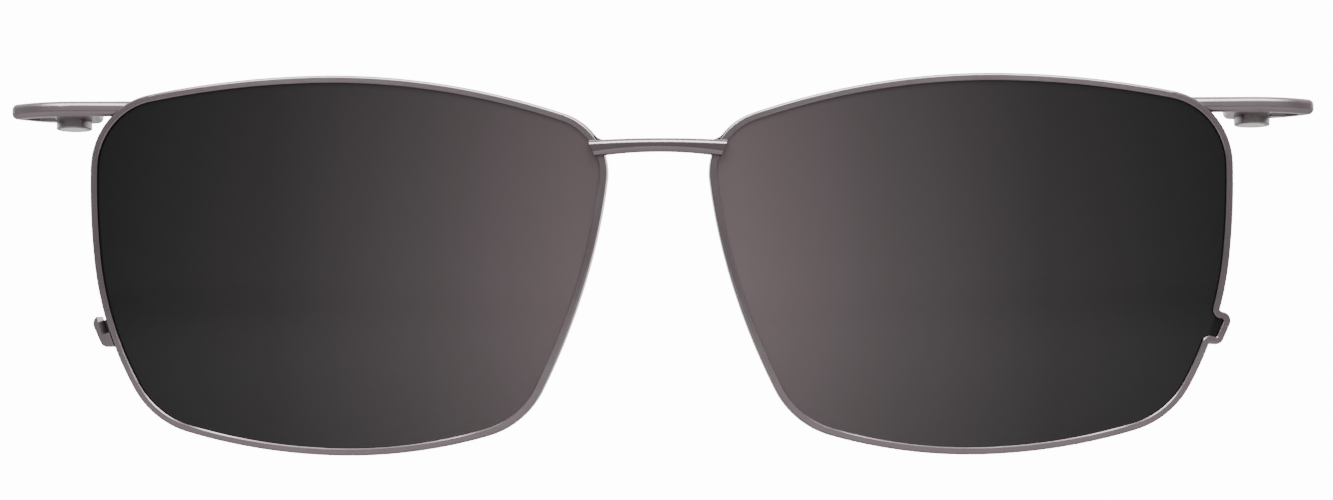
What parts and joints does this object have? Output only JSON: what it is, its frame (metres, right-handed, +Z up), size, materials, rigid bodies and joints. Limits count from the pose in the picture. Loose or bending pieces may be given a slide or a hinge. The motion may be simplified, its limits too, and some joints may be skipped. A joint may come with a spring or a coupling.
{
  "type": "magnetic clip-on sunglass front",
  "caption": "Rimmed sunglass front with smoke lenses, a bridge, and slotted side arms whose magnets hold it to the front of the wearer's own eyeglasses.",
  "frame": {"origin": "centre of the bounding box", "axes": "+X to the wearer's left, which is the right of the picture; +Y back towards the wearer, so the front faces -Y; +Z up"},
  "size_m": [0.144, 0.014, 0.0416],
  "materials": {
    "frame_metal": "satin gunmetal",
    "arm_metal": "satin gunmetal",
    "cup_metal": "satin gunmetal",
    "magnet_nickel": "nickel plated",
    "smoke_lens": "polished smoke tint"
  },
  "bodies": {
    "root": {"bridge": "frame_metal", "left_rim": "frame_metal", "left_lens": "smoke_lens", "left_lug": "frame_metal", "left_arm": "arm_metal", "left_magnet_cup": "cup_metal", "left_magnet": "magnet_nickel", "right_rim": "frame_metal", "right_lens": "smoke_lens", "right_lug": "frame_metal", "right_arm": "arm_metal", "right_magnet_cup": "cup_metal", "right_magnet": "magnet_nickel"}
  },
  "joints": []
}
